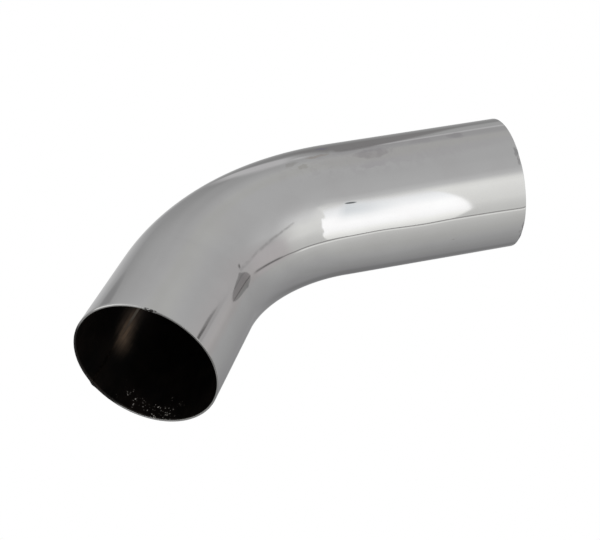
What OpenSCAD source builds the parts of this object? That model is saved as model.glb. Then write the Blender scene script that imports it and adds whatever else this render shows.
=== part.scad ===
// Flue elbow: one length of round steel tube with a single smooth bend,
// a long straight leg, a short straight leg and two plain square-cut ends.
// The outside and the cut ends are chrome plated, the bore is left bare,
// and the tube's own lengthwise seam weld shows as a low bead in the bore.
//
// The elbow lies on its side. The origin is the centre of the long leg's open
// end, +X points out of that end along the leg, +Z is up, and the bend lies
// flat in the XY plane and turns towards -Y.

/* [Tube] */
// Outside diameter of the finished tube, mm
tube_od = 127; // [100:1:152]
// Thickness of the whole wall, plating included, mm
wall = 1.65; // [1.2:0.05:3]

/* [Bend] */
// Angle that the tube turns through, degrees
bend_angle = 60; // [15:1:90]
// Radius of the bend, measured on the tube's centreline, mm
bend_radius = 183; // [130:1:300]
// How much the bend is drawn down in radius against the straight legs, mm
bend_draw = 0.05; // [0.02:0.01:1]

/* [Legs] */
// Straight length of the long leg, from its open end to the bend, mm
long_leg = 169; // [40:1:400]
// Straight length of the short leg, from the bend to its open end, mm
short_leg = 90; // [20:1:300]

/* [Plating] */
// Thickness that the chrome plating is drawn at, mm
plating = 0.15; // [0.12:0.01:0.4]

/* [Seam weld] */
// Place of the seam weld around the tube, degrees from the outer side of the bend, up is positive
seam_angle = -31; // [-180:1:180]
// Width of the weld through the steel wall, mm
weld_w = 3; // [2:0.5:6]
// Height of the weld bead above the bore, mm
bead_h = 0.25; // [0.1:0.05:0.3]

/* [Hidden] */
$fn = 180;

r_out = tube_od / 2;          // outside of the plating
r_steel = r_out - plating;    // outside of the steel
r_bore = r_out - wall;        // the duct

// The bead's top is an arc that rises bead_h above the bore and meets it at
// both edges of the weld.
bead_cos = cos(weld_w / 2 / r_bore * 180 / PI);
bead_low = r_bore - bead_h;
bead_r = (bead_low * bead_low + r_bore * r_bore - 2 * bead_low * r_bore * bead_cos)
       / (2 * (r_bore * bead_cos - bead_low));

// Places a child, drawn upwards from z = 0, on the long leg's axis with its
// foot back from the open end, pointing out of that end.
module on_long_leg(back)
    translate([-back, 0, 0]) rotate([90, 0, 90]) children();

// The same on the short leg, with its foot at the given distance past the
// bend, pointing back towards the bend.
module on_short_leg(past)
    at_bend() rotate([0, 0, bend_angle])
        translate([bend_radius, past, 0]) rotate([90, 0, 0]) children();

// Puts the bend's centre at the origin, with the bend starting on +X.
module at_bend()
    translate([-long_leg, -bend_radius, 0]) rotate([0, 0, 90]) children();

// The slice of a full ring that the bend takes up.
module bend_wedge()
    linear_extrude(2 * tube_od, center = true)
        polygon([[0, 0], [1000, 0], [1000 * cos(bend_angle), 1000 * sin(bend_angle)]]);

// Sweeps an outline along the centreline, stopping short of both open ends.
// In the outline, x points to the outer side of the bend and y points up, and
// $draw is how far the tube is drawn in at that stretch.
module along_tube(short = 0) {
    on_long_leg(long_leg) linear_extrude(long_leg - short)
        let ($draw = 0) children();
    at_bend() intersection() {
        rotate_extrude() translate([bend_radius, 0])
            let ($draw = bend_draw) children();
        bend_wedge();
    }
    on_short_leg(short_leg - short) linear_extrude(short_leg - short)
        let ($draw = 0) children();
}

// Round wall in cross-section.
module ring(outside, inside)
    difference() {
        circle(outside - $draw);
        circle(inside - $draw);
    }

// The gap between the edges of the rolled strip, which the weld fills.
module seam_gap() {
    w = weld_w - 2 * $draw;
    rotate(seam_angle) translate([r_bore - 3, -w / 2]) square([wall + 6, w]);
}

// The bent tube itself: bare steel strip rolled round, from end to end.
module steel_tube()
    color([0.24, 0.22, 0.20])
        along_tube(plating)
            difference() {
                ring(r_steel, r_bore);
                seam_gap();
            }

// The seam weld: weld metal through the wall, dressed flush outside and left
// as a low bead in the bore.
module seam_weld()
    color([0.33, 0.27, 0.22])
        along_tube(plating)
            intersection() {
                circle(r_steel - $draw);
                seam_gap();
                rotate(seam_angle) translate([bead_low + bead_r - $draw, 0]) circle(bead_r);
            }

// The plating: a thin shell over the whole outside, turned in over both cut
// ends as far as the bore.
module chrome_plating()
    color([0.80, 0.81, 0.82]) {
        along_tube() ring(r_out, r_steel);
        on_long_leg(plating) linear_extrude(plating)
            ring(r_steel, r_bore, $draw = 0);
        on_short_leg(short_leg) linear_extrude(plating)
            ring(r_steel, r_bore, $draw = 0);
    }

steel_tube();
seam_weld();
chrome_plating();
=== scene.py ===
import math

import bpy
import numpy as np
from mathutils import Matrix, Vector


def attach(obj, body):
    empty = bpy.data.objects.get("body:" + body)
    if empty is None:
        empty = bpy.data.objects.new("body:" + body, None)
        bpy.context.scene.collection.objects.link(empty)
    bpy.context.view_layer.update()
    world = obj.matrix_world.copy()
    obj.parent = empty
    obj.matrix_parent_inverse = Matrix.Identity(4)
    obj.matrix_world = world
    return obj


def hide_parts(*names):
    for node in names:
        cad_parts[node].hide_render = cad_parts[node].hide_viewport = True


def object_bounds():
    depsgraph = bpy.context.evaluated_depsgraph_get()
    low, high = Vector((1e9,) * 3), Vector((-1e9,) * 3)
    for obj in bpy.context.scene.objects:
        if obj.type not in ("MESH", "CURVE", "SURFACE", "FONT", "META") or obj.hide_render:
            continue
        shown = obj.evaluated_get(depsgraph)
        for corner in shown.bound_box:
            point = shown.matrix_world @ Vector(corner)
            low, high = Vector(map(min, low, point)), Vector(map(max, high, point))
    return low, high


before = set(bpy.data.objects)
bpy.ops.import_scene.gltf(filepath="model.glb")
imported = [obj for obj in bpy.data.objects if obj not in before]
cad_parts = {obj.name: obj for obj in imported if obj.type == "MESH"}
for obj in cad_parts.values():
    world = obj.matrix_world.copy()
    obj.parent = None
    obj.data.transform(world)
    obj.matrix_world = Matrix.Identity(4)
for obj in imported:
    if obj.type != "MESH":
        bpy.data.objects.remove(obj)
cad_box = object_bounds()

# ---------------------------------------------------------------- the tube's own measures, metres

R_BEND = 0.183
BEND = math.radians(60)
LEG_A = 0.169                      # long leg
LEG_B = 0.090                      # short leg
ARC = R_BEND * BEND
LENGTH = LEG_A + ARC + LEG_B
R_OUT = 0.0635
R_STEEL = R_OUT - 0.00015
R_BORE = R_OUT - 0.00165
SEAM = math.radians(-31)
CENTRE = np.array([-LEG_A, -R_BEND, 0.0])
END_B = CENTRE + R_BEND * np.array([math.cos(math.pi / 2 + BEND), math.sin(math.pi / 2 + BEND), 0.0])
DIR_B = np.array([-math.sin(math.pi / 2 + BEND), math.cos(math.pi / 2 + BEND), 0.0])
NRM_B = np.array([math.cos(math.pi / 2 + BEND), math.sin(math.pi / 2 + BEND), 0.0])

lo, hi = cad_box
assert abs(hi[0]) < 1e-4 and abs(hi[1] - R_OUT) < 2e-4, "the packed tube isn't the one this script is drawn for"


def sweep(s, theta, r):
    """Point on the tube: s metres from the long leg's open end, theta from the outer side of the bend, up positive."""
    s, theta, r = np.broadcast_arrays(np.asarray(s, float), theta, r)
    a = math.pi / 2 + np.clip((s - LEG_A) / R_BEND, 0, BEND)
    n = np.stack([np.cos(a), np.sin(a), np.zeros_like(a)], -1)
    p = CENTRE + R_BEND * n
    p = p + np.where(s < LEG_A, LEG_A - s, 0)[..., None] * np.array([1.0, 0, 0])
    p = p + np.where(s > LEG_A + ARC, s - LEG_A - ARC, 0)[..., None] * DIR_B
    z = np.array([0, 0, 1.0])
    return p + r[..., None] * (n * np.cos(theta)[..., None] + z * np.sin(theta)[..., None])


def unrolled(s, theta, r):
    """The same point with the tube pulled straight: materials use it, so grain and streaks follow the bend."""
    s, theta, r = np.broadcast_arrays(np.asarray(s, float), theta, r)
    return np.stack([s, r * np.cos(theta), r * np.sin(theta)], -1)


def smooth(x, a, b):
    t = np.clip((np.asarray(x, float) - a) / (b - a), 0, 1)
    return t * t * (3 - 2 * t)


def bump(s, theta, s0, t0_deg, ws, wt_deg, height):
    """A soft swelling or dent centred at s0, t0."""
    dt = np.degrees(np.angle(np.exp(1j * (theta - math.radians(t0_deg)))))
    return height * np.exp(-0.5 * ((s - s0) / ws) ** 2 - 0.5 * (dt / wt_deg) ** 2)


def waves(s, theta, seed, count, len_lo, len_hi, height):
    """A sum of slow waves round and along the tube, always the same for a seed."""
    rng = np.random.default_rng(seed)
    out = np.zeros(np.broadcast(s, theta).shape)
    for _ in range(count):
        wl = rng.uniform(len_lo, len_hi)
        k = rng.integers(-5, 6)
        along = 2 * math.pi / wl * rng.choice([-1, 1])
        out = out + np.cos(along * s + k * theta + rng.uniform(0, 2 * math.pi)) * wl / len_hi
    return height * out / math.sqrt(count)


# ---------------------------------------------------------------- mesh helpers

def make_mesh(name, verts, faces, coords=None, smooth_faces=True):
    me = bpy.data.meshes.new(name)
    me.from_pydata([tuple(v) for v in verts], [], [tuple(f) for f in faces])
    me.validate()
    if coords is not None:
        at = me.attributes.new("tube_co", "FLOAT_VECTOR", "POINT")
        at.data.foreach_set("vector", np.asarray(coords, np.float32).ravel())
    me.polygons.foreach_set("use_smooth", [smooth_faces] * len(me.polygons))
    ob = bpy.data.objects.new(name, me)
    bpy.context.scene.collection.objects.link(ob)
    return ob


def torus_faces(rows, cols):
    """Faces of a closed band: rows wrap round the section's profile, cols wrap round the tube."""
    i = np.arange(rows)[:, None]
    j = np.arange(cols)[None, :]
    a = i * cols + j
    b = i * cols + (j + 1) % cols
    c = ((i + 1) % rows) * cols + (j + 1) % cols
    d = ((i + 1) % rows) * cols + j
    return np.stack([a, d, c, b], -1).reshape(-1, 4)


def outer_draw(s):
    """The bend is drawn down by a twentieth of a millimetre, fading in over a few millimetres."""
    return -0.00005 * smooth(s, LEG_A - 0.003, LEG_A + 0.004) * (1 - smooth(s, LEG_A + ARC - 0.004, LEG_A + ARC + 0.003))


# ---------------------------------------------------------------- chrome skin

def skin_relief(s, th):
    """How far the polished surface stands off a true tube."""
    fade = smooth(s, 0.0, 0.004) * (1 - smooth(s, LENGTH - 0.004, LENGTH))
    d = waves(s, th, 11, 14, 0.05, 0.16, 0.000022)
    deg = np.degrees(np.angle(np.exp(1j * (th + 0 * s))))
    # buffing has left long shallow flats that make the reflected lines wander
    for s0, t0, ws, wt, h in (
        (0.140, 178, 0.015, 9, -0.00019), (0.098, 177, 0.012, 9, 0.00010), (0.068, 177, 0.015, 9, -0.00006),
        (0.200, 177, 0.018, 9, 0.00009), (0.000, 178, 0.014, 9, 0.00013),
        (0.060, 88, 0.020, 7, 0.00004), (0.100, 90, 0.018, 8, -0.00004), (0.165, 86, 0.014, 8, 0.00005),
        (0.300, 90, 0.030, 10, 0.00005), (0.395, 80, 0.020, 10, -0.00005), (0.420, 118, 0.025, 12, 0.00005),
    ):
        d = d + bump(s, th, s0, t0, ws, wt, h)
    # ripples where the bending die let go of the tube
    grip = np.exp(-0.5 * ((s - 0.2045) / 0.0028) ** 2) * smooth(deg, 128, 142) * (1 - smooth(deg, 157, 167))
    d = d + grip * 0.000045 * (np.cos(26 * th + 1.0) + 0.7 * np.cos(41 * th + 2.0))
    grip = np.exp(-0.5 * ((s - 0.222) / 0.006) ** 2) * smooth(deg, 128, 142) * (1 - smooth(deg, 157, 167))
    d = d + grip * 0.00003 * np.cos(19 * th + 0.4)
    return d * (0.25 + 0.75 * fade)


def edge_noise(theta, seed, height):
    rng = np.random.default_rng(seed)
    out = np.zeros_like(theta)
    for k in range(3, 60):
        out += np.cos(k * theta + rng.uniform(0, 2 * math.pi)) * rng.uniform(0.2, 1) / k ** 0.6
    return height * out / 4


def chrome_skin():
    cols = 216
    th = np.arange(cols) / cols * 2 * math.pi
    e = 0.00034
    # outer surface, from the long end to the short end
    body = np.concatenate([
        e + np.array([0.0, 0.0006, 0.0014]),
        np.linspace(0.003, LENGTH - 0.003, 322),
        LENGTH - e - np.array([0.0014, 0.0006, 0.0]),
    ])
    prof = []                                        # (s, r, kind)
    quarter = np.linspace(0, math.pi / 2, 5)
    r_in_edge = 0.00014
    prof += [(s, None, "skin") for s in body]
    for a in quarter[1:]:                            # outer edge of the short end
        prof.append((LENGTH - e + e * math.sin(a), R_OUT - e + e * math.cos(a), "short_edge"))
    for r in (R_OUT - 0.0006, R_OUT - 0.0010, R_BORE + r_in_edge):
        prof.append((LENGTH, r, "short"))
    for a in quarter[1:]:                            # inner edge
        prof.append((LENGTH - r_in_edge + r_in_edge * math.cos(a), R_BORE + r_in_edge - r_in_edge * math.sin(a), "short"))
    prof.append((LENGTH - 0.0006, R_BORE, "short"))
    prof.append((LENGTH - 0.0006, R_STEEL, "inner"))
    for s in np.linspace(LENGTH - 0.0012, 0.0012, 60):
        prof.append((s, R_STEEL, "inner"))
    prof.append((0.0006, R_STEEL, "inner"))
    prof.append((0.0006, R_BORE, "long"))
    for a in quarter[::-1][:-1]:
        prof.append((r_in_edge - r_in_edge * math.cos(a), R_BORE + r_in_edge - r_in_edge * math.sin(a), "long"))
    for r in (R_BORE + r_in_edge, R_OUT - 0.0010, R_OUT - 0.0006):
        prof.append((0.0, r, "long"))
    for a in quarter[::-1][:-1]:
        prof.append((e - e * math.sin(a), R_OUT - e + e * math.cos(a), "long_edge"))
    S = np.array([p[0] for p in prof])[:, None] * np.ones((1, cols))
    T = np.ones((len(prof), 1)) * th[None, :]
    R = np.zeros_like(S)
    for i, (s, r, kind) in enumerate(prof):
        if kind == "skin":
            R[i] = R_OUT + outer_draw(s) + skin_relief(np.full(cols, s), th)
        elif kind == "inner":
            R[i] = r + outer_draw(s) - 0.00001
        else:
            R[i] = r
    near = edge_noise(th, 5, 0.00007)
    far = edge_noise(th, 6, 0.00012)
    deg = np.degrees(np.angle(np.exp(1j * th)))

    def around(t0, wt):
        d = np.degrees(np.angle(np.exp(1j * (th - math.radians(t0)))))
        return np.exp(-0.5 * (d / wt) ** 2)

    # the buffing wheel has rolled the top of the short end's edge over, and the cutter has left burrs
    lip = smooth(deg, 36, 52) * (1 - smooth(deg, 92, 99))
    burr = around(100.5, 1.3) + 0.7 * around(104.5, 1.0) + 0.8 * around(97.5, 0.8)
    # the edges are broken more on the side that the polisher could reach
    worn = 0.35 + 0.65 * np.clip(around(160, 30) + around(195, 25) + lip, 0, 1)
    for i, (s, r, kind) in enumerate(prof):
        if kind == "short_edge":
            S[i] = LENGTH + (s - LENGTH) * worn
            R[i] = R_OUT + (r - R_OUT) * worn
        if kind == "long_edge":
            S[i] = s * 0.6
            R[i] = R_OUT + (r - R_OUT) * 0.6
        if kind == "skin":
            back = LENGTH - s
            if back < 0.0022:
                R[i] = R[i] - lip * 0.0005 * (1 - back / 0.0022) ** 2 + 0.0005 * around(-34, 2.2) * (1 - back / 0.0022)
        elif kind in ("short", "short_edge") and s > LENGTH - 0.0005:
            rim = min(max((r - R_OUT + 0.0010) / 0.0010, 0.0), 1.0)
            R[i] = R[i] + rim * 0.0005 * (around(-34, 2.2) - lip)
            if r < R_OUT - 0.00061:
                R[i] = R[i] - burr * 0.00045
            S[i] = S[i] - np.abs(near) + burr * 0.0003 + 0.0006 * around(-33, 1.6)
        if kind in ("long", "long_edge") and s < 0.0005:
            S[i] = S[i] + np.abs(far) + 0.0006 * (around(126, 2.5) + around(-168, 3.0) + 0.6 * around(-150, 2.0))
    # the long end isn't cut quite square
    tilt = np.array([(1 - smooth(s, 0.0, 0.030)) for s, _, _ in prof])[:, None] * (0.0004 + 0.0007 * np.sin(th))[None, :]
    S = S - tilt
    V = sweep(S, T, R).reshape(-1, 3)
    C = unrolled(S, T, R).reshape(-1, 3)
    F = torus_faces(len(prof), cols)
    ob = make_mesh("chrome_skin", V, F, C)
    return ob


# ---------------------------------------------------------------- steel tube

def bore_relief(s, th):
    rng = np.random.default_rng(3)
    d = waves(s, th, 21, 10, 0.03, 0.12, 0.00002)
    return d


def steel_tube():
    cols = 200
    th = SEAM + (np.arange(cols) + 0.5) / cols * 2 * math.pi
    prof = [(s, "out") for s in np.linspace(0.0007, LENGTH - 0.0007, 60)]
    prof += [(s, "in") for s in np.linspace(LENGTH - 0.0007, 0.0007, 300)]
    S = np.array([p[0] for p in prof])[:, None] * np.ones((1, cols))
    T = np.ones((len(prof), 1)) * th[None, :]
    R = np.zeros_like(S)
    for i, (s, kind) in enumerate(prof):
        if kind == "out":
            R[i] = R_STEEL - 0.00003 + outer_draw(s)
        else:
            R[i] = R_BORE + outer_draw(s) + np.minimum(bore_relief(np.full(cols, s), th), 0.0)
    V = sweep(S, T, R).reshape(-1, 3)
    C = unrolled(S, T, R).reshape(-1, 3)
    return make_mesh("steel_wall", V, torus_faces(len(prof), cols), C)


# ---------------------------------------------------------------- seam weld

def weld_bead():
    across = 13
    steps = 560
    s = np.linspace(0.0008, LENGTH - 0.0008, steps)
    rng = np.random.default_rng(9)
    wob = np.zeros(steps)
    for k in range(1, 30):
        wob += np.cos(2 * math.pi * k * s / LENGTH + rng.uniform(0, 6.28)) * rng.uniform(0, 1) / k
    half = 0.0015 * (1 + 0.05 * wob)
    rings = []
    for j in range(across):
        x = -1 + 2 * j / (across - 1)
        crown = (1 - x * x)
        ripple = 0.5 + 0.5 * np.cos(2 * math.pi * (s / 0.0019 + 0.35 * x * x))
        h = crown * (0.00026 + 0.00005 * ripple + 0.00003 * wob)
        rings.append((x * half, R_BORE + outer_draw(s) - h + 0.00004 * (1 - crown)))
    for x in (1, -1):                                 # back of the strip, inside the wall
        rings.append((x * half, R_STEEL - 0.0003 + outer_draw(s)))
    rows = len(rings)
    V, C = [], []
    for off, r in rings:
        T = SEAM + off / R_BORE
        V.append(sweep(s, T, r))
        C.append(unrolled(s, T, r))
    V = np.concatenate(V)
    C = np.concatenate(C)
    F = []
    for i in range(rows):
        k = (i + 1) % rows
        for j in range(steps - 1):
            F.append((i * steps + j, k * steps + j, k * steps + j + 1, i * steps + j + 1))
    F.append(tuple(i * steps for i in range(rows))[::-1])
    F.append(tuple(i * steps + steps - 1 for i in range(rows)))
    return make_mesh("weld_bead", V, F, C)


# ---------------------------------------------------------------- node helpers

class Nodes:
    """Short names for building a shader."""

    def __init__(self, tree):
        self.t = tree
        tree.nodes.clear()

    def new(self, kind, **props):
        n = self.t.nodes.new(kind)
        for k, v in props.items():
            setattr(n, k, v)
        return n

    def link(self, a, b):
        self.t.links.new(a, b)

    def put(self, socket, value):
        if hasattr(value, "is_linked") or isinstance(value, bpy.types.NodeSocket):
            self.link(value, socket)
        else:
            socket.default_value = value

    def math(self, op, a, b=0.0, clamp=False):
        n = self.new("ShaderNodeMath", operation=op, use_clamp=clamp)
        self.put(n.inputs[0], a)
        self.put(n.inputs[1], b)
        return n.outputs[0]

    def ramp(self, fac, stops, interp="LINEAR"):
        n = self.new("ShaderNodeValToRGB")
        n.color_ramp.interpolation = interp
        el = n.color_ramp.elements
        while len(el) > 1:
            el.remove(el[-1])
        for i, (p, c) in enumerate(stops):
            if not isinstance(c, (tuple, list)):
                c = (c, c, c)
            e = el[0] if i == 0 else el.new(p)
            e.position = p
            e.color = (c[0], c[1], c[2], 1)
        self.put(n.inputs[0], fac)
        return n.outputs[0]

    def span(self, value, a, b, lo=0.0, hi=1.0, kind="SMOOTHSTEP"):
        n = self.new("ShaderNodeMapRange", interpolation_type=kind)
        for i, v in enumerate((value, a, b, lo, hi)):
            self.put(n.inputs[i], v)
        return n.outputs[0]

    def mix(self, fac, a, b):
        n = self.new("ShaderNodeMix", data_type="RGBA")
        self.put(n.inputs[0], fac)
        self.put(n.inputs[6], a if not isinstance(a, (tuple, list)) or len(a) == 4 else (*a, 1))
        self.put(n.inputs[7], b if not isinstance(b, (tuple, list)) or len(b) == 4 else (*b, 1))
        return n.outputs[2]

    def mixf(self, fac, a, b):
        n = self.new("ShaderNodeMix", data_type="FLOAT")
        self.put(n.inputs[0], fac)
        self.put(n.inputs[2], a)
        self.put(n.inputs[3], b)
        return n.outputs[0]

    def tube(self, scale=(1, 1, 1)):
        a = self.new("ShaderNodeAttribute", attribute_name="tube_co", attribute_type="GEOMETRY")
        m = self.new("ShaderNodeMapping")
        m.inputs["Scale"].default_value = scale
        self.link(a.outputs["Vector"], m.inputs["Vector"])
        return m.outputs[0]

    def place(self):
        """Metres along the tube from the long end, and degrees round it from the outer side of the bend."""
        a = self.new("ShaderNodeAttribute", attribute_name="tube_co", attribute_type="GEOMETRY")
        x = self.new("ShaderNodeSeparateXYZ")
        self.link(a.outputs["Vector"], x.inputs[0])
        return x.outputs[0], self.math("MULTIPLY", self.math("ARCTAN2", x.outputs[2], x.outputs[1]), 180 / math.pi)

    def noise(self, vec, scale, detail=3.0, rough=0.5, distort=0.0):
        n = self.new("ShaderNodeTexNoise")
        self.link(vec, n.inputs["Vector"])
        n.inputs["Scale"].default_value = scale
        n.inputs["Detail"].default_value = detail
        n.inputs["Roughness"].default_value = rough
        n.inputs["Distortion"].default_value = distort
        return n.outputs["Fac"]

    def voronoi(self, vec, scale, feature="F1", rand=1.0):
        n = self.new("ShaderNodeTexVoronoi", feature=feature)
        self.link(vec, n.inputs["Vector"])
        n.inputs["Scale"].default_value = scale
        n.inputs["Randomness"].default_value = rand
        return n

    def bump(self, height, distance, strength=1.0, normal=None):
        n = self.new("ShaderNodeBump")
        n.inputs["Strength"].default_value = strength
        n.inputs["Distance"].default_value = distance
        self.link(height, n.inputs["Height"])
        if normal is not None:
            self.link(normal, n.inputs["Normal"])
        return n.outputs[0]


def lin(v):
    """Linear value of an 8-bit display value."""
    c = v / 255
    return c / 12.92 if c <= 0.04045 else ((c + 0.055) / 1.055) ** 2.4


# ---------------------------------------------------------------- materials

CHROME = 0.47


def chrome_material():
    m = bpy.data.materials.new("bright_chrome")
    m.use_nodes = True
    n = Nodes(m.node_tree)
    out = n.new("ShaderNodeOutputMaterial")
    p = n.new("ShaderNodeBsdfPrincipled")
    p.inputs["Metallic"].default_value = 1.0
    p.inputs["Specular Tint"].default_value = (0.86, 0.86, 0.86, 1)
    co = n.tube()
    haze = n.noise(co, 26, 3, 0.55)
    fine = n.noise(n.tube((1, 1, 1)), 220, 4, 0.6)
    col = n.mix(n.span(haze, 0.35, 0.7), (CHROME * 1.01, CHROME * 1.01, CHROME * 1.01), (CHROME * 0.98, CHROME * 0.975, CHROME * 0.975))
    s, deg = n.place()
    wander = n.math("SUBTRACT", n.noise(co, 150, 3, 0.6), 0.5)
    wander2 = n.math("SUBTRACT", n.noise(co, 90, 3, 0.6), 0.5)
    s_w = n.math("ADD", s, n.math("MULTIPLY", wander, 0.016))
    deg_w = n.math("ADD", deg, n.math("MULTIPLY", wander2, 9.0))

    def patch(s0, t0, ws, wt, s_=None, d_=None, lean=0.0):
        """1 inside an oval on the tube's skin, with a ragged edge unless the plain coordinates are passed in."""
        s_ = s_w if s_ is None else s_
        d_ = deg_w if d_ is None else d_
        a = n.math("DIVIDE", n.math("SUBTRACT", s_, s0), ws)
        t = n.math("SUBTRACT", d_, t0)
        if lean:
            t = n.math("SUBTRACT", t, n.math("MULTIPLY", a, lean))
        b = n.math("DIVIDE", t, wt)
        return n.span(n.math("ADD", n.math("MULTIPLY", a, a), n.math("MULTIPLY", b, b)), 0.35, 1.35, 1, 0)

    # a film of haze along the top of the long leg
    col = n.mix(n.math("MULTIPLY", patch(0.075, 98, 0.125, 14), 0.6), col, tuple(CHROME * c for c in (0.90, 0.885, 0.895)))
    # thin stains in the polish
    for s0, t0, ws, wt, tone, amount in (
        (0.134, 97.0, 0.019, 6.0, (0.74, 0.715, 0.74), 0.9), (0.213, 91.5, 0.006, 3.0, (0.80, 0.79, 0.76), 0.8),
        (0.204, 97.5, 0.006, 2.5, (0.80, 0.79, 0.76), 0.8), (0.050, 91.5, 0.009, 4.5, (0.80, 0.78, 0.80), 0.9),
        (0.085, 91.0, 0.011, 3.5, (0.86, 0.84, 0.86), 0.8), (0.136, 110.0, 0.014, 3.5, (0.90, 0.88, 0.90), 0.8),
        (0.184, 89.5, 0.012, 2.0, (0.84, 0.78, 0.73), 0.8), (0.178, 77.0, 0.005, 3.0, (0.80, 0.79, 0.98), 0.8),
        (0.070, -172.0, 0.003, 0.8, (0.82, 0.80, 0.79), 0.7), (0.158, 90.0, 0.010, 4.0, (0.90, 0.89, 0.90), 0.8),
    ):
        col = n.mix(n.math("MULTIPLY", patch(s0, t0, ws, wt), amount), col, tuple(CHROME * c for c in tone))
    for s0, t0, ws, wt, tone, amount in (
        (0.0010, 119.0, 0.0019, 5.2, (0.60, 0.60, 0.61), 0.8), (0.0006, 127.5, 0.0013, 4.0, (0.66, 0.65, 0.66), 0.8), (0.0022, 121.5, 0.0012, 2.4, (0.72, 0.71, 0.72), 0.7),
        (0.0006, -171.0, 0.0013, 6.0, (0.58, 0.55, 0.57), 0.8), (0.0007, -160.0, 0.0013, 4.0, (0.62, 0.60, 0.66), 0.8), (0.0028, -166.0, 0.0010, 2.0, (0.75, 0.72, 0.74), 0.6),
    ):
        chip_s = n.math("ADD", s, n.math("MULTIPLY", wander, 0.007))
        chip_d = n.math("ADD", deg, n.math("MULTIPLY", wander2, 5.0))
        col = n.mix(n.math("MULTIPLY", patch(s0, t0, ws, wt, chip_s, chip_d), amount), col, tuple(CHROME * c for c in tone))
    mottle = n.math("MULTIPLY", n.span(n.noise(co, 120, 4, 0.65), 0.46, 0.60), n.math("MULTIPLY", patch(0.135, 100, 0.105, 19), 0.45))
    col = n.mix(mottle, col, (CHROME * 0.90, CHROME * 0.885, CHROME * 0.90))
    # a short dark dash painted on the skin where the bend starts: painted reflection
    col = n.mix(patch(0.1665, 140.3, 0.0062, 0.75, s, deg, -0.2), col, (0.10, 0.104, 0.108))
    # soot on the cutter's burrs
    soot = n.math("MULTIPLY", n.span(s, LENGTH - 0.0012, LENGTH - 0.0004), n.math("MULTIPLY", n.span(deg, 96.0, 97.5), n.span(deg, 105, 107, 1, 0)))
    col = n.mix(n.math("MULTIPLY", soot, n.span(n.noise(co, 700, 2, 0.5), 0.40, 0.50)), col, (0.02, 0.018, 0.016))
    # the cut face is painted near black on the outer side of the bend, a painted shade for the dark surroundings it
    # faces, and is dull on top
    face = n.span(s, LENGTH - 0.0007, LENGTH - 0.0003)
    face_painted_shade = n.math("MULTIPLY", n.span(deg, -66, -52), n.span(deg, 22, 38, 1, 0))
    col = n.mix(n.math("MULTIPLY", n.math("MULTIPLY", face, face_painted_shade), 0.93), col, (0.012, 0.010, 0.009))
    dull = n.math("MULTIPLY", n.span(deg, 100, 108), n.span(deg, 160, 175, 1, 0))
    col = n.mix(n.math("MULTIPLY", n.math("MULTIPLY", face, dull), 0.55), col, (0.16, 0.155, 0.15))
    n.link(col, p.inputs["Base Color"])
    rough = n.math("ADD", n.span(haze, 0.3, 0.75, 0.030, 0.060), n.span(fine, 0.5, 0.8, 0.0, 0.02))
    n.link(rough, p.inputs["Roughness"])
    peel = n.noise(co, 700, 2, 0.5)
    n.link(n.bump(peel, 0.000004, 0.3), p.inputs["Normal"])
    n.link(p.outputs[0], out.inputs[0])
    return m


def steel_material():
    m = bpy.data.materials.new("bare_steel")
    m.use_nodes = True
    n = Nodes(m.node_tree)
    out = n.new("ShaderNodeOutputMaterial")
    p = n.new("ShaderNodeBsdfPrincipled")
    co = n.tube()
    draw = n.tube((0.12, 1, 1))
    grain = n.noise(draw, 420, 4, 0.6)
    cloud = n.noise(co, 40, 4, 0.6)
    col = n.mix(n.span(cloud, 0.35, 0.7), (0.0055, 0.0045, 0.0040), (0.014, 0.010, 0.008))
    s, deg = n.place()
    # heat tint either side of the seam weld, with painted light over it: the band is painted lighter deeper in, where
    # light from the tube's far end falls
    tint = n.math("MULTIPLY", n.span(n.math("ABSOLUTE", n.math("ADD", n.math("ADD", deg, n.span(s, LENGTH - 0.090, LENGTH - 0.045, 30.0, 36.5)), n.math("MULTIPLY", n.math("SUBTRACT", cloud, 0.5), 9.0))), 0.0, 16.0, 1, 0),
                  n.math("MULTIPLY", n.span(s, LENGTH - 0.110, LENGTH - 0.070, 0.35, 1.0), n.span(s, LENGTH - 0.064, LENGTH - 0.030, 1, 0)))
    streak = n.noise(n.tube((0.05, 1, 1)), 190, 3, 0.6)
    tint = n.math("MULTIPLY", tint, n.span(streak, 0.30, 0.62, 0.55, 1.0))
    col = n.mix(n.math("MULTIPLY", tint, tint), col, (0.235, 0.160, 0.105))
    # plating that has run a little way into the mouth and taken as flecks
    cell = n.voronoi(n.tube((0.7, 1, 1)), 560)
    fleck = n.span(cell.outputs["Distance"], 0.26, 0.42, 1, 0)
    some = n.span(n.noise(co, 330, 2, 0.5), 0.49, 0.56)
    thick = n.math("MAXIMUM", n.math("MULTIPLY", n.span(n.math("ABSOLUTE", n.math("ADD", deg, 75)), 4, 9, 1, 0), n.span(s, LENGTH - 0.019, LENGTH - 0.014)),
                   n.math("MULTIPLY", n.span(n.math("ABSOLUTE", n.math("ADD", deg, 94)), 4, 11, 1, 0), n.span(s, LENGTH - 0.023, LENGTH - 0.017)))
    zone = n.math("MULTIPLY", n.math("MULTIPLY", n.span(deg, -118, -98), n.span(deg, -64, -48, 1, 0)),
                  n.math("MULTIPLY", n.span(s, LENGTH - 0.032, LENGTH - 0.016), n.span(n.noise(co, 110, 2, 0.5), n.mixf(thick, 0.52, 0.30), n.mixf(thick, 0.62, 0.44))))
    fleck = n.math("MULTIPLY", n.math("MULTIPLY", fleck, some), zone)
    col = n.mix(fleck, col, n.mix(n.span(n.noise(co, 520, 1, 0.5), 0.40, 0.62), (0.06, 0.055, 0.05), (0.42, 0.40, 0.37)))
    n.link(n.math("MULTIPLY", n.math("SUBTRACT", 1.0, n.math("MAXIMUM", tint, fleck)), 0.85), p.inputs["Metallic"])
    n.link(col, p.inputs["Base Color"])
    n.link(n.span(grain, 0.3, 0.75, 0.40, 0.60), p.inputs["Roughness"])
    n.link(n.bump(grain, 0.00003, 0.4), p.inputs["Normal"])
    n.link(p.outputs[0], out.inputs[0])
    return m


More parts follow.
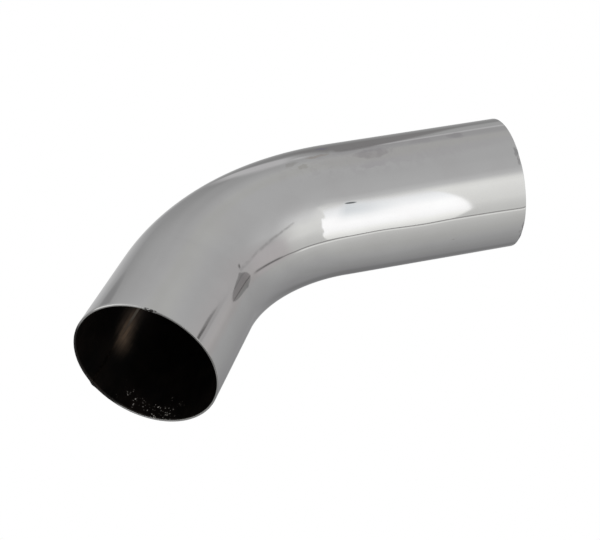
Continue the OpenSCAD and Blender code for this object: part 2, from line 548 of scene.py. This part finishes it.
def weld_material():
    m = bpy.data.materials.new("weld_metal")
    m.use_nodes = True
    n = Nodes(m.node_tree)
    out = n.new("ShaderNodeOutputMaterial")
    p = n.new("ShaderNodeBsdfPrincipled")
    co = n.tube()
    cloud = n.noise(co, 300, 4, 0.6)
    col = n.mix(n.span(cloud, 0.35, 0.7), (0.010, 0.008, 0.006), (0.024, 0.018, 0.013))
    s, deg = n.place()
    # the bead is painted lighter some way in from the short end: a painted glint; nearer the mouth a warm band is heat
    # tint with painted light over it
    bead_painted_light = n.math("MULTIPLY", n.span(s, LENGTH - 0.118, LENGTH - 0.100), n.span(s, LENGTH - 0.086, LENGTH - 0.066, 1, 0))
    bead_heat_tint_and_painted_light = n.math("MULTIPLY", n.span(s, LENGTH - 0.090, LENGTH - 0.070), n.span(s, LENGTH - 0.062, LENGTH - 0.036, 1, 0))
    col = n.mix(n.math("MULTIPLY", bead_heat_tint_and_painted_light, 0.6), col, (0.22, 0.15, 0.10))
    col = n.mix(bead_painted_light, col, (0.24, 0.205, 0.165))
    bead_painted_light = n.math("MAXIMUM", bead_painted_light, bead_heat_tint_and_painted_light)
    n.link(n.math("SUBTRACT", 0.9, n.math("MULTIPLY", bead_painted_light, 0.7)), p.inputs["Metallic"])
    n.link(col, p.inputs["Base Color"])
    n.link(n.span(cloud, 0.3, 0.75, 0.28, 0.5), p.inputs["Roughness"])
    n.link(p.outputs[0], out.inputs[0])
    return m


# ---------------------------------------------------------------- build

skin = chrome_skin()
skin.data.materials.append(chrome_material())
wall = steel_tube()
wall.data.materials.append(steel_material())
bead = weld_bead()
bead.data.materials.append(weld_material())

for ob, node, slot in ((skin, "chrome_plating", "bright_chrome"), (wall, "steel_tube", "bare_steel"), (bead, "seam_weld", "weld_metal")):
    bm_faces = len(ob.data.polygons)
    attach(ob, "root")
    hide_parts(node)


# ---------------------------------------------------------------- studio: what the camera sees

def emission_material(name, build):
    m = bpy.data.materials.new(name)
    m.use_nodes = True
    n = Nodes(m.node_tree)
    out = n.new("ShaderNodeOutputMaterial")
    e = n.new("ShaderNodeEmission")
    build(n, e)
    n.link(e.outputs[0], out.inputs[0])
    return m


def only_camera(ob):
    ob.visible_diffuse = ob.visible_glossy = ob.visible_transmission = ob.visible_volume_scatter = ob.visible_shadow = False


def white(n, e):
    e.inputs["Color"].default_value = (1, 1, 1, 1)
    e.inputs["Strength"].default_value = 1.0


floor_z = lo[2] - 0.0006
me = bpy.data.meshes.new("studio_floor")
k = 64
me.from_pydata([(5 * math.cos(2 * math.pi * i / k), 5 * math.sin(2 * math.pi * i / k), floor_z) for i in range(k)], [], [tuple(range(k))])
floor = bpy.data.objects.new("studio_floor", me)
bpy.context.scene.collection.objects.link(floor)
floor.data.materials.append(emission_material("studio_white", white))
only_camera(floor)

bpy.ops.mesh.primitive_uv_sphere_add(segments=48, ring_count=24, radius=7.0)
dome = bpy.context.object
dome.name = "studio_dome"
dome.data.materials.append(floor.data.materials[0])
only_camera(dome)


# ---------------------------------------------------------------- studio: what the chrome sees

K = 1 / CHROME                                       # display value in the tube -> radiance in the tent


def g(v, tint=(1, 1, 1)):
    """Radiance that shows as 8-bit value v in the chrome."""
    x = lin(v) * K
    return (x * tint[0], x * tint[1], x * tint[2])


NEUTRAL = (1, 1, 1)
WARM = (1.0, 1.0, 0.975)
WOOD = (1.0, 0.965, 0.955)
ROSE = (1.0, 0.975, 0.975)
COOL = (1.0, 1.0, 1.005)
BLUE = (1.0, 0.995, 1.01)

world = bpy.data.worlds.new("tent")
bpy.context.scene.world = world
world.use_nodes = True
n = Nodes(world.node_tree)
out = n.new("ShaderNodeOutputWorld")
bg = n.new("ShaderNodeBackground")
tc = n.new("ShaderNodeTexCoord")
sep = n.new("ShaderNodeSeparateXYZ")
n.link(tc.outputs["Generated"], sep.inputs[0])
X, Y, Z = sep.outputs
flat = n.math("SQRT", n.math("ADD", n.math("MULTIPLY", X, X), n.math("MULTIPLY", Y, Y)))
elev = n.math("MULTIPLY", n.math("ARCTAN2", Z, flat), 180 / math.pi)      # degrees above the horizon
turn = n.math("MULTIPLY", n.math("ARCTAN2", Y, X), 180 / math.pi)         # degrees from +X, -90 is the front
elev01 = n.math("ADD", n.math("DIVIDE", elev, 180), 0.5)


def tent(stops):
    """A strip of tent from straight down to straight up: (degrees, display value in the chrome, tint)."""
    return n.ramp(elev01, [(d / 180 + 0.5, g(v, t)) for d, v, t in stops])


TOP = [(54, 163, NEUTRAL), (90, 160, NEUTRAL)]
strips = [
    (-66, tent([(-90, 130, COOL), (-75, 137, NEUTRAL), (-60, 150, NEUTRAL), (-40, 163, WARM), (-26, 175, WARM), (-15, 189, WARM),
                (-8, 187, WARM), (0, 194, WARM), (10, 207, WARM), (26, 215, WARM), (35, 219, WARM), (40, 214, WARM), (47, 181, NEUTRAL), (55, 167, NEUTRAL), (90, 160, NEUTRAL)])),
    (-42, tent([(-90, 128, COOL), (-75, 137, NEUTRAL), (-60, 145, NEUTRAL), (-45, 154, NEUTRAL), (-26, 166, WARM), (-15, 181, WARM),
                (-8, 181, WARM), (0, 190, WARM), (8, 206, WARM), (20, 210, WARM), (32, 200, NEUTRAL), (44, 176, NEUTRAL), (54, 166, NEUTRAL), (90, 160, NEUTRAL)])),
    (-14, tent([(-90, 126, COOL), (-75, 133, NEUTRAL), (-55, 139, NEUTRAL), (-35, 152, NEUTRAL), (-20, 161, WARM), (-12, 162, WOOD),
                (-5, 167, WOOD), (8, 167, ROSE), (14, 162, ROSE), (24, 172, NEUTRAL), (33, 169, NEUTRAL), (44, 165, NEUTRAL)] + TOP)),
    (12, tent([(-90, 124, BLUE), (-75, 128, BLUE), (-55, 133, BLUE), (-35, 145, NEUTRAL), (-20, 151, NEUTRAL), (-12, 153, WOOD),
               (-5, 162, WOOD), (3, 160, ROSE), (14, 160, ROSE), (30, 159, NEUTRAL), (45, 162, NEUTRAL)] + TOP)),
    (50, tent([(-90, 118, COOL), (-75, 112, BLUE), (-60, 108, BLUE), (-45, 132, BLUE), (-20, 145, NEUTRAL), (0, 140, NEUTRAL), (20, 152, NEUTRAL),
               (36, 161, NEUTRAL), (46, 165, WARM)] + TOP)),
    (66, tent([(-90, 118, COOL), (-60, 102, BLUE), (-40, 124, BLUE), (-16, 135, NEUTRAL), (-5, 126, NEUTRAL), (3.5, 128, NEUTRAL), (7.5, 150, NEUTRAL), (14, 154, NEUTRAL),
               (28, 150, NEUTRAL), (36, 153, NEUTRAL), (43, 163, WARM), (56, 162, WARM), (90, 160, NEUTRAL)])),
    (85, tent([(-90, 118, COOL), (-60, 118, COOL), (-26, 147, NEUTRAL), (-14, 131, NEUTRAL), (-5, 123, NEUTRAL), (4, 124, NEUTRAL), (9, 130, NEUTRAL), (14, 143, NEUTRAL),
               (28, 148, NEUTRAL), (38, 159, NEUTRAL), (46, 164, NEUTRAL), (90, 160, NEUTRAL)])),
    (96, tent([(-90, 120, COOL), (-60, 120, COOL), (-27, 160, NEUTRAL), (-18, 143, COOL), (-12, 132, COOL), (-5, 134, COOL), (6, 139, NEUTRAL), (12, 142, NEUTRAL),
               (20, 149, NEUTRAL), (30, 156, NEUTRAL), (40, 161, NEUTRAL), (90, 160, NEUTRAL)])),
    (106, tent([(-90, 120, COOL), (-60, 122, COOL), (-26, 164, COOL), (-17, 162, COOL), (-11, 154, COOL), (-5, 147, COOL), (0, 139, COOL), (7, 143, NEUTRAL), (12, 147, NEUTRAL),
                (18, 152, NEUTRAL), (24, 156, NEUTRAL), (38, 160, NEUTRAL)] + TOP)),
]
col = strips[0][1]
for (t0, _), (t1, c) in zip(strips, strips[1:]):
    col = n.mix(n.span(turn, t0, t1), col, c)


def band(value, lo_, hi_, soft):
    """1 between lo_ and hi_, fading over soft outside them."""
    return n.math("MULTIPLY", n.span(value, lo_ - soft, lo_), n.span(value, hi_, hi_ + soft, 1.0, 0.0))


def ridge(value, width):
    """1 where value is zero, falling off over width either side."""
    return n.span(n.math("ABSOLUTE", value), 0.0, width, 1.0, 0.0)


# something dark behind the tent, to the right of the back
lean = n.math("SUBTRACT", turn, n.math("MULTIPLY", elev, 0.10))
slant = n.math("ADD", turn, n.math("MULTIPLY", n.math("SUBTRACT", elev, 9.0), 0.22))
wedge = n.math("MULTIPLY", n.math("MULTIPLY", n.span(lean, 70.0, 72.0), n.span(slant, 79.8, 82.0, 1, 0)), band(elev, 2, 27, 6))
col = n.mix(n.math("MULTIPLY", wedge, 0.9), col, g(116, ROSE) + (1,))
# a bright seam in the tent, broken by that dark thing
along = n.math("DIVIDE", n.math("SUBTRACT", turn, 60.0), 40.0)
seam_el = n.ramp(along, [((t - 60) / 40, (e + 20) / 60) for t, e in ((60, 22.5), (69, 22.5), (73, 25), (77, 30), (80, 23.5), (83, 19.5), (86, 13), (91, -2), (98, -19))])
off = n.math("SUBTRACT", elev, n.math("SUBTRACT", n.math("MULTIPLY", seam_el, 60.0), 20.0))
seam_on = n.math("MULTIPLY", ridge(off, 4.2), n.math("SUBTRACT", 1.0, n.math("MULTIPLY", band(turn, 74.5, 78.2, 1.5), 0.9)))
seam_on = n.math("MULTIPLY", n.math("MULTIPLY", seam_on, n.span(turn, 80, 82, 1, 0)), n.span(turn, 20, 60))
seam_wide = n.math("MULTIPLY", n.span(n.math("ABSOLUTE", n.math("ADD", off, 2.0)), 3.5, 10.5, 1, 0), n.span(turn, 88.5, 92.5, 1, 0))
seam_wide = n.math("MULTIPLY", seam_wide, n.span(n.math("ADD", turn, n.math("MULTIPLY", n.math("SUBTRACT", elev, 17.0), 0.12)), 80.2, 82.4))
seam_on = n.math("MAXIMUM", seam_on, seam_wide)
col = n.mix(n.math("MULTIPLY", seam_on, 0.95), col, g(174, (1.0, 0.99, 1.0)) + (1,))
# a small dark thing at the back
q1 = n.math("DIVIDE", n.math("SUBTRACT", turn, 108.4), 2.0)
q2 = n.math("DIVIDE", n.math("SUBTRACT", elev, 2.5), 9.5)
back_spot = n.span(n.math("ADD", n.math("MULTIPLY", q1, q1), n.math("MULTIPLY", q2, q2)), 0.1, 1.2, 1, 0)
col = n.mix(n.math("MULTIPLY", back_spot, 0.9), col, g(125, COOL) + (1,))
# rosy cloth between the table's edge and the low wall's
rosy = n.math("MULTIPLY", band(turn, -24, 0, 8.0), band(elev, -12, 8, 7.0))
col = n.mix(n.math("MULTIPLY", rosy, 0.5), col, g(166, (1.015, 0.955, 0.965)) + (1,))
# front edge of the table, climbing and thickening to the right, with the light cloth's edge under it
gap = n.math("SUBTRACT", n.math("ADD", elev, 13.0), n.span(turn, -32, 3, 0.0, 4.4, "LINEAR"))
line_fine = n.math("MULTIPLY", ridge(gap, 1.5), band(turn, -95, -6, 5.0))
line_bold = n.math("MULTIPLY", ridge(gap, 2.6), band(turn, -17, 1.5, 7.0))
col = n.mix(n.math("MULTIPLY", n.math("MULTIPLY", ridge(n.math("ADD", gap, 2.5), 1.8), band(turn, -95, -40, 12.0)), 0.85), col, g(220, WARM) + (1,))
col = n.mix(n.math("MULTIPLY", line_fine, 0.88), col, g(104, WOOD) + (1,))
col = n.mix(n.math("MULTIPLY", line_bold, 0.85), col, g(98, WOOD) + (1,))
# top edge of a low wall that runs away to the right, seen through the tent
away = n.math("ADD", turn, -12.0)
rough_dir = n.noise(tc.outputs["Generated"], 14, 2, 0.5)
edge = n.math("SUBTRACT", elev, n.math("ADD", n.math("MULTIPLY", away, n.math("SUBTRACT", n.math("MULTIPLY", away, 0.0040), 0.28)), 6.0))
edge_amt = n.span(turn, -12, -4, 0.52, 0.34)
edge_on = n.math("MULTIPLY", n.math("MULTIPLY", ridge(edge, 3.8), edge_amt), n.span(rough_dir, 0.38, 0.62, 0.35, 1.0))
col = n.mix(n.math("MULTIPLY", edge_on, band(turn, -33, 13.5, 2.5)), col, g(112, ROSE) + (1,))
# a dark post at the wall's right end
post = n.span(n.math("ABSOLUTE", n.math("ADD", n.math("SUBTRACT", elev, 10.2), n.math("MULTIPLY", n.math("SUBTRACT", turn, 13.2), 0.6))), 0.8, 3.4, 1, 0)
post = n.math("MULTIPLY", post, n.math("MULTIPLY", n.span(turn, 12.95, 13.25), n.math("MULTIPLY", n.span(turn, 13.6, 14.0, 1.0, 0.62), n.span(turn, 14.5, 15.0, 1, 0))))
col = n.mix(n.math("MULTIPLY", post, 0.98), col, g(86, WOOD) + (1,))
# dim room low on the left, which only the short end's cut face sees
q1 = n.math("MAXIMUM", n.span(n.math("ABSOLUTE", n.math("ADD", turn, 150)), 30, 46, 1, 0), n.span(turn, 112, 124))
low_left = n.math("MULTIPLY", q1, band(elev, -72, -20, 8))
col = n.mix(n.math("MULTIPLY", low_left, 0.95), col, g(38, WARM) + (1,))
col = n.mix(n.math("MULTIPLY", band(n.math("ABSOLUTE", n.math("ADD", turn, 150)), -1, 10, 6), band(elev, -56, -32, 6)), col, g(124, WARM) + (1,))
# a second soft panel at the back left, and a fill on the left that no part facing the camera sees
fill = n.math("MULTIPLY", band(n.math("ABSOLUTE", n.math("ADD", turn, -146)), -1, 14, 10), band(elev, 14, 46, 10))
col = n.mix(fill, col, g(218, WARM) + (1,))
left = n.math("MULTIPLY", band(n.math("ABSOLUTE", n.math("ADD", turn, 144)), -1, 18, 12), band(elev, -4, 42, 7))
col = n.mix(left, col, g(232, WARM) + (1,))
n.link(col, bg.inputs["Color"])
n.link(bg.outputs[0], out.inputs[0])


def soft_panel():
    """The big soft panel in front. Its top fades out into the tent, and its left half is a little cooler."""
    m = bpy.data.materials.new("soft_panel")
    m.use_nodes = True
    p = Nodes(m.node_tree)
    out = p.new("ShaderNodeOutputMaterial")
    e = p.new("ShaderNodeEmission")
    clear = p.new("ShaderNodeBsdfTransparent")
    mixer = p.new("ShaderNodeMixShader")
    geo = p.new("ShaderNodeNewGeometry")
    sp = p.new("ShaderNodeSeparateXYZ")
    p.link(geo.outputs["Position"], sp.inputs[0])
    x, y, z = sp.outputs
    z01 = p.span(z, -0.13, 0.60, 0, 1, "LINEAR")

    def h(mm):
        return (mm / 1000 + 0.13) / 0.73

    tone = p.ramp(z01, [(h(-120), g(205, WARM)), (h(-60), g(222, WARM)), (h(-20), g(234, WARM)), (h(40), g(246)), (h(110), g(252)), (h(200), g(252)),
                        (h(300), g(238, (1.0, 1.01, 1.02))), (h(380), g(228, (1.0, 1.01, 1.02))), (h(450), g(213)), (h(540), g(182))])
    cooler = p.math("MULTIPLY", p.span(x, -0.052, 0.028, 1, 0), p.span(z, 0.08, 0.36))
    tone = p.mix(p.math("MULTIPLY", cooler, 0.95), tone, g(212, (0.975, 1.015, 1.045)) + (1,))
    p.link(tone, e.inputs["Color"])
    right = p.math("ADD", p.math("MULTIPLY", p.span(z, -0.10, 0.03, 1, 0), -0.022), 0.0985)
    inside = p.span(p.math("SUBTRACT", right, x), -0.004, 0.006)
    fade = p.math("MULTIPLY", p.span(z, 0.40, 0.58, 1, 0), inside)
    p.link(fade, mixer.inputs[0])
    p.link(clear.outputs[0], mixer.inputs[1])
    p.link(e.outputs[0], mixer.inputs[2])
    p.link(mixer.outputs[0], out.inputs[0])
    return m


me = bpy.data.meshes.new("front_panel")
me.from_pydata([(-0.8, -0.509, -0.082), (0.115, -0.509, -0.088), (0.115, -0.509, 0.60), (-0.8, -0.509, 0.60)], [], [(0, 1, 2, 3)])
panel = bpy.data.objects.new("front_panel", me)
bpy.context.scene.collection.objects.link(panel)
panel.data.materials.append(soft_panel())
panel.visible_camera = False

# ---------------------------------------------------------------- camera

cam = bpy.data.cameras.new("camera")
cam.lens = 64.39
cam.sensor_width = 36.0
cam.clip_start = 0.01
cam.clip_end = 60
camera = bpy.data.objects.new("camera", cam)
bpy.context.scene.collection.objects.link(camera)
fwd = Vector((0.1591, 0.7672, -0.6213)).normalized()
fwd = (fwd + 0.00050 * Vector((0.973, -0.2286, -0.0332)) + 0.00018 * Vector((0.1675, 0.5992, 0.7829))).normalized()
right = Vector((0.973, -0.2286, -0.0332))
right = (right - right.dot(fwd) * fwd).normalized()
up = right.cross(fwd)
camera.matrix_world = Matrix.Translation((-0.37636, -0.82146, 0.59887)) @ Matrix((right, up, -fwd)).transposed().to_4x4()
bpy.context.scene.camera = camera

vs = bpy.context.scene.view_settings
vs.view_transform = "Standard"
vs.look = "None"
vs.exposure = 0
vs.gamma = 1
